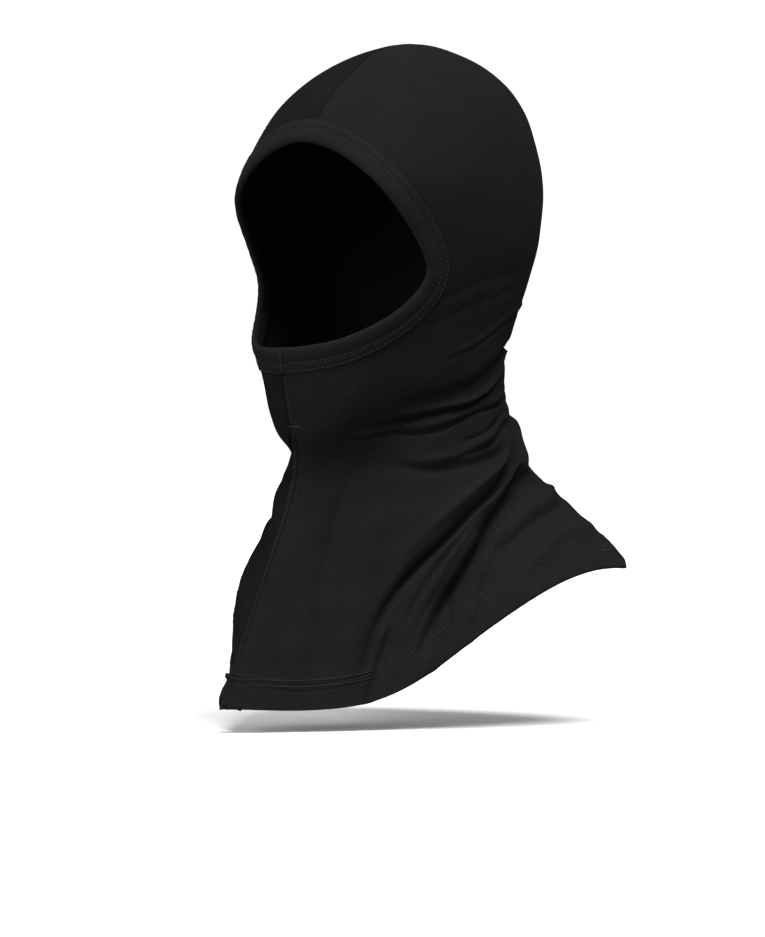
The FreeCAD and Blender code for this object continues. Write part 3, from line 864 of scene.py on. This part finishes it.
class Nodes:
    """Short ways to build a material's nodes."""

    def __init__(self, name):
        self.material = bpy.data.materials.new(name)
        self.material.use_nodes = True
        self.tree = self.material.node_tree
        self.shader = self.tree.nodes["Principled BSDF"]

    def add(self, kind, **values):
        node = self.tree.nodes.new(kind)
        for key, value in values.items():
            setattr(node, key, value)
        return node

    def link(self, a, b):
        self.tree.links.new(a, b)

    def math(self, operation, a, b=0.0):
        node = self.add("ShaderNodeMath", operation=operation)
        for socket, value in zip(node.inputs, (a, b)):
            if isinstance(value, (int, float)):
                socket.default_value = value
            else:
                self.link(value, socket)
        return node.outputs[0]

    def times(self, a, b):
        return self.math("MULTIPLY", a, b)

    def plus(self, a, b):
        return self.math("ADD", a, b)

    def total(self, *shares):
        """Sum of values, each times its share."""
        products = [self.times(value, share) for value, share in shares]
        for product in products[1:]:
            products[0] = self.plus(products[0], product)
        return products[0]

    def knit(self):
        """The knit coordinates: all, across and along the wales in millimetres, and how far it is pulled."""
        attribute = self.add("ShaderNodeAttribute", attribute_name="knit")
        parts = self.add("ShaderNodeSeparateXYZ")
        self.link(attribute.outputs["Vector"], parts.inputs[0])
        return attribute.outputs["Vector"], *parts.outputs

    def noise(self, vector, scale, detail=2.0, rough=0.5):
        node = self.add("ShaderNodeTexNoise")
        set_inputs(node, ("Scale", scale), ("Detail", detail), ("Roughness", rough))
        self.link(vector, node.inputs["Vector"])
        return node.outputs[0]

    def stretch(self, vector, x, y, z=1.0):
        node = self.add("ShaderNodeVectorMath", operation="MULTIPLY")
        self.link(vector, node.inputs[0])
        node.inputs[1].default_value = (x, y, z)
        return node.outputs[0]

    def turned(self, vector, angle, x, y):
        node = self.add("ShaderNodeMapping", vector_type="TEXTURE")
        node.inputs["Rotation"].default_value = (0, 0, angle)
        self.link(vector, node.inputs["Vector"])
        return self.stretch(node.outputs[0], x, y, 0)

    def ramp(self, value, low, high, start=0.0, end=1.0):
        node = self.add("ShaderNodeMapRange")
        self.link(value, node.inputs["Value"])
        set_inputs(node, ("From Min", start), ("From Max", end), ("To Min", low), ("To Max", high))
        return node.outputs[0]

    def colour(self, value, low, high):
        node = self.add("ShaderNodeMix", data_type="RGBA")
        self.link(value, node.inputs["Factor"])
        set_inputs(node, ("A", (*low, 1)), ("B", (*high, 1)))
        self.link(node.outputs["Result"], self.shader.inputs["Base Color"])

    def bump(self, height, distance, strength=1.0):
        node = self.add("ShaderNodeBump")
        set_inputs(node, ("Distance", distance), ("Strength", strength))
        self.link(height, node.inputs["Height"])
        self.link(node.outputs[0], self.shader.inputs["Normal"])

    def surface(self, rough, sheen, sheen_rough, tint=(1, 1, 1), specular=0.25):
        set_inputs(self.shader, ("Roughness", rough), ("Sheen Weight", sheen),
                   ("Sheen Roughness", sheen_rough), ("Sheen Tint", (*tint, 1)),
                   ("Specular IOR Level", specular))


COURSE = 0.9        # height of a loop of the knit
KNIT_SHEEN = 0.002


def knit_material(name, wale, dark, light):
    """Fine knit: ribs of stitches with V-shaped loops, uneven stretch and a slight fuzz."""
    n = Nodes(name)
    vector, across, along, pull = n.knit()
    drift = n.noise(n.stretch(vector, 0.10, 0.03), 1.0, 3)
    wobble = n.times(n.math("SUBTRACT", drift, 0.5), 1.6)
    turn = n.times(n.plus(across, wobble), 2 * math.pi / wale)
    rib = n.times(n.plus(n.math("COSINE", turn), 1.0), 0.5)
    slant = n.times(n.math("ABSOLUTE", n.math("SINE", n.times(turn, 0.5))), COURSE * 0.9)
    loop = n.times(n.plus(along, slant), 2 * math.pi / COURSE)
    loop = n.times(n.plus(n.math("SINE", loop), 1.0), 0.5)
    streak = n.noise(n.stretch(vector, 0.8, 0.012), 1.0, 2)
    pulled = n.noise(n.turned(vector, math.radians(-38), 0.03, 1.1), 1.0, 2)
    pulled = n.times(n.math("SUBTRACT", pulled, 0.5), pull)
    cloud = n.noise(n.stretch(vector, 0.03, 0.03), 1.0, 3)
    fuzz = n.noise(n.stretch(vector, 2.2, 1.3), 1.0, 2)
    height = n.total((rib, 0.35), (loop, 0.25), (fuzz, 0.6), (streak, 0.15), (pulled, 2.5))
    tone = n.total((rib, 0.12), (streak, 0.15), (cloud, 0.15), (fuzz, 0.75), (pulled, 0.5))
    n.colour(n.ramp(tone, 0, 1, 0.25, 0.9), dark, light)
    n.bump(height, 0.0003)
    n.surface(0.95, KNIT_SHEEN, 0.5, (0.93, 1.0, 1.0), 0.0)
    n.link(n.ramp(fuzz, 0.82, 0.98), n.shader.inputs["Roughness"])
    return n.material


def thread_material(name, dark, light):
    """Twisted sewing thread."""
    n = Nodes(name)
    across, along = n.knit()[1:3]
    twist = n.math("SINE", n.times(n.plus(across, along), 14.0))
    n.colour(n.ramp(twist, 0, 1, -1, 1), dark, light)
    n.bump(twist, 0.00008)
    n.surface(0.7, 0.003, 0.4, specular=0.02)
    return n.material


def label_material():
    """Plain woven satin tape."""
    n = Nodes("label")
    across, along = n.knit()[1:3]
    weave = n.math("SINE", n.times(along, 2 * math.pi / 0.35))
    rib = n.math("SINE", n.times(across, 2 * math.pi / 0.5))
    n.colour(n.ramp(weave, 0, 1, -1, 1), (0.010, 0.010, 0.011), (0.016, 0.016, 0.017))
    n.bump(n.plus(weave, rib), 0.00004)
    n.surface(0.45, 0.1, 0.3, specular=0.5)
    return n.material


def paint(piece, material):
    piece.data.materials.clear()
    piece.data.materials.append(material)


# ---- build it
WALE = 1.05         # width of a rib of the cloth
BINDING_WALE = 1.0  # width of a rib of the binding
KNIT = knit_material("knit", WALE, (0.0014, 0.0015, 0.0014), (0.0058, 0.0061, 0.0059))
# painted shade: the right half's knit is a darker copy of the left's, which stands in for the shade that
# falls on that side
KNITS_WITH_PAINTED_SHADE = {1: KNIT, -1: knit_material("right_knit_painted_shade", WALE, (0.0010, 0.0011, 0.0010), (0.0044, 0.0046, 0.0044))}
TRIM = knit_material("binding_knit", BINDING_WALE, (0.0018, 0.0019, 0.0018), (0.0062, 0.0065, 0.0063))
THREAD = thread_material("thread", (0.0085, 0.0093, 0.0100), (0.0175, 0.0187, 0.0198))
TACK_THREAD = thread_material("tack_thread", (0.020, 0.021, 0.022), (0.036, 0.037, 0.038))
EDGE_THREAD = thread_material("edge_thread", (0.0012, 0.0013, 0.0014), (0.006, 0.0064, 0.0068))
LABEL = label_material()


def bend_with(piece):
    """The piece's placement is baked into its mesh."""
    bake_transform(piece)


def on_hood(piece, material):
    """The piece is painted and rides on the hood."""
    paint(piece, material)
    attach(piece, "hood")
    return piece


for side, side_name in ((1, "left"), (-1, "right")):
    cloth = half_cloth(side, side_name + "_half_cloth",
                       [side_name + "_half_panel", side_name + "_front_flap"])
    trims = []
    for row, word in zip(HEM_ROWS, ("lower", "upper")):
        nodes = ["%s_hem_%s_stitch" % (side_name, word), "%s_flap_hem_%s_stitch" % (side_name, word)]
        places = hem_row_places(side, row)
        trims.append(row_on_cloth("%s_hem_%s_row" % (side_name, word), side, places, nodes))
    places = front_places(side, SLIT_ROW, TACK + 0.012, 0.95)
    trims.append(row_on_cloth(side_name + "_slit_edge_row", side, places,
                              [side_name + "_slit_edge_stitch"], lift=-0.05))
    trims.append(slit_facing(side, side_name + "_slit_facing"))
    # the right half takes the darker knit copy, which carries painted shade
    materials = KNITS_WITH_PAINTED_SHADE[side], THREAD, THREAD, EDGE_THREAD, KNITS_WITH_PAINTED_SHADE[side]
    for piece, material in zip([cloth] + trims, materials):
        paint(piece, material)
        bend_with(piece)

strip = on_hood(binding(), TRIM)
lap = on_hood(binding_lap(), TRIM)
threads = [on_hood(piece, THREAD) for piece in (
    binding_row("binding_inner_row", BINDING_ROWS[0], "binding_inner_stitch"),
    binding_row("binding_outer_row", BINDING_ROWS[1], "binding_outer_stitch"), joint_stitch())]

# Negative stations lie in front of the crown and positive ones behind it.
on_hood(centre_strip("crown_back_allowance", np.linspace(-0.222, 0.94, 264), "crown_back_seam"), KNIT)
on_hood(centre_strip("front_seam_allowance", np.linspace(-TACK + 0.003, -0.527, 52), "front_seam"), KNIT)
on_hood(overlock(np.arange(-0.2, 0.935, 0.0045)), THREAD)
places = front_places(1, FRONT_ROW, 0.532, TACK - 0.004, 60)
on_hood(row_on_cloth("front_seam_top_row", 1, places, ["front_seam_topstitch"], pitch=SHORT_STITCH), THREAD)
on_hood(bar_tack(), TACK_THREAD)
on_hood(care_label(), LABEL)

# ---- floor, light, camera
FLOOR_REACH = 40            # half the floor's width, in metres
FLOOR_DROP = 0.012          # the worn piece hovers this far over the floor


def floor(height):
    """A plain pale matt floor."""
    n = Nodes("pale_floor")
    set_inputs(n.shader, ("Base Color", (0.30, 0.30, 0.30, 1)), ("Roughness", 0.95),
               ("Specular IOR Level", 0.0))
    mesh = bpy.data.meshes.new("floor")
    corners = [(x * FLOOR_REACH, y * FLOOR_REACH, height) for x, y in ((-1, -1), (1, -1), (1, 1), (-1, 1))]
    mesh.from_pydata(corners, [], [(0, 1, 2, 3)])
    mesh.materials.append(n.material)
    piece = bpy.data.objects.new("floor", mesh)
    bpy.context.collection.objects.link(piece)
    return piece


def soft_light(name, strength, width, shines):
    """A wide far light. shines is the way its light goes."""
    light = bpy.data.lights.new(name, "SUN")
    light.energy = strength
    light.angle = math.radians(width)
    lamp = bpy.data.objects.new(name, light)
    bpy.context.collection.objects.link(lamp)
    lamp.rotation_mode = "QUATERNION"
    lamp.rotation_quaternion = Vector(shines).to_track_quat("-Z", "Y")


floor(cad_box[0].z - FLOOR_DROP)
soft_light("key", 12.0, 38, (-0.75, 0.30, -1.85))
soft_light("fill", 6.0, 50, (0.05, 1.0, -0.25))
soft_light("back", 6.0, 60, (0.6, -0.9, -0.15))

world = bpy.data.worlds.new("studio")
world.use_nodes = True
background = world.node_tree.nodes["Background"]
background.inputs["Color"].default_value = (1, 1, 1, 1)
background.inputs["Strength"].default_value = 1.05
bpy.context.scene.world = world
bpy.context.scene.view_settings.view_transform = "Standard"

AZIMUTH = math.radians(40)      # of the camera, from straight ahead towards the wearer's left
DISTANCE = 2.4
LENS = 159.8
AIM_ASIDE = -0.0176             # the aim, to the right of the picture from the vertical axis
AIM_HEIGHT = -0.2444
sight = Vector((math.sin(AZIMUTH), -math.cos(AZIMUTH), 0))
aside = Vector((math.cos(AZIMUTH), math.sin(AZIMUTH), 0))
target = aside * AIM_ASIDE + Vector((0, 0, AIM_HEIGHT))
lens = bpy.data.cameras.new("camera")
lens.lens = LENS
lens.sensor_width = 36
lens.clip_start = 0.05
lens.clip_end = 150
camera = bpy.data.objects.new("camera", lens)
bpy.context.collection.objects.link(camera)
camera.location = target + sight * DISTANCE
camera.rotation_mode = "QUATERNION"
camera.rotation_quaternion = (-sight).to_track_quat("-Z", "Y")
bpy.context.scene.camera = camera

bpy.context.view_layer.update()
